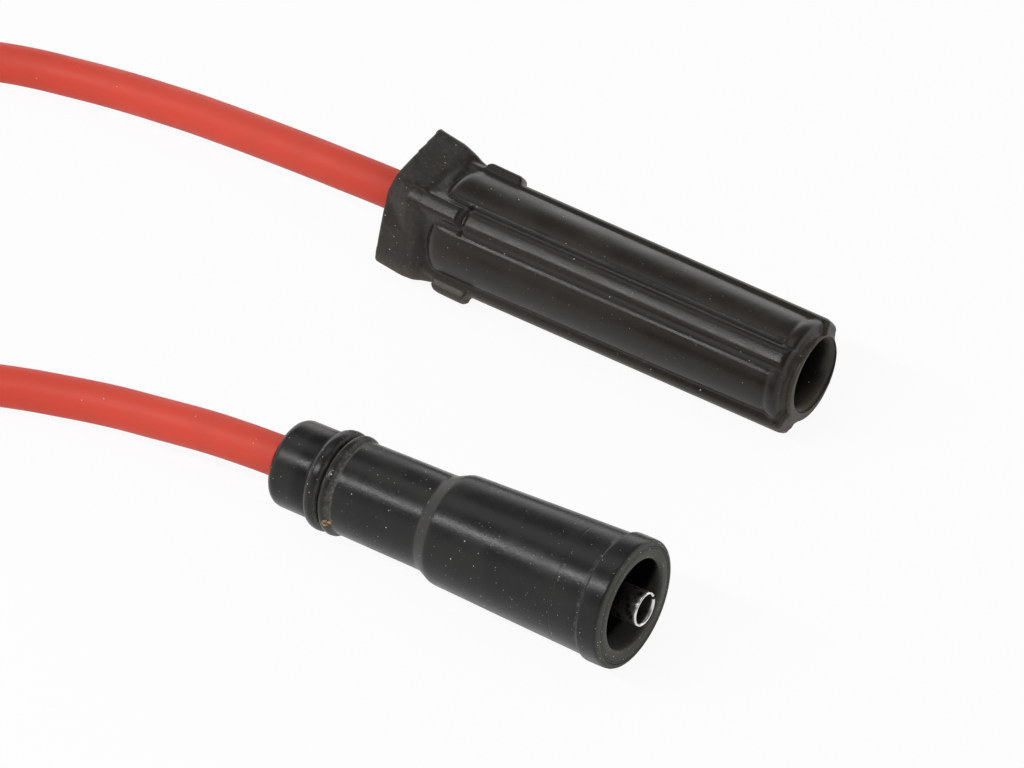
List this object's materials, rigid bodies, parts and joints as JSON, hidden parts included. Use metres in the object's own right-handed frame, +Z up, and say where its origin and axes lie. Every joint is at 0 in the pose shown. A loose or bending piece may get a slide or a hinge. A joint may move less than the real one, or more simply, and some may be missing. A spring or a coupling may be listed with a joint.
{
  "type": "spark plug wire",
  "caption": "Red silicone ignition lead with a long ribbed rubber boot on its plug end and a round rubber boot with a slit metal socket on its coil end.",
  "frame": {"origin": "on the surface that the lead lies on, under the middle of the box round its two boots", "axes": "+X along both boots towards their mouths, +Y from the coil end to the plug end, +Z up"},
  "size_m": [0.2189, 0.1013, 0.0219],
  "materials": {
    "silicone_jacket": "matt red silicone with fine dust",
    "plug_boot_rubber": "brownish black moulded rubber, half matt, dusty",
    "coil_boot_rubber": "neutral black moulded rubber, smooth, scuffed and dusty",
    "terminal_steel": "plated sheet steel, slightly dull",
    "spring_wire": "drawn spring wire",
    "core_strands": "bare copper strands"
  },
  "bodies": {
    "root": {"cable": "silicone_jacket", "plug_boot": "plug_boot_rubber", "plug_terminal": "terminal_steel", "plug_terminal_clip": "spring_wire", "plug_end_conductor": "core_strands", "coil_boot": "coil_boot_rubber", "coil_terminal": "terminal_steel", "coil_end_conductor": "core_strands"}
  },
  "joints": []
}
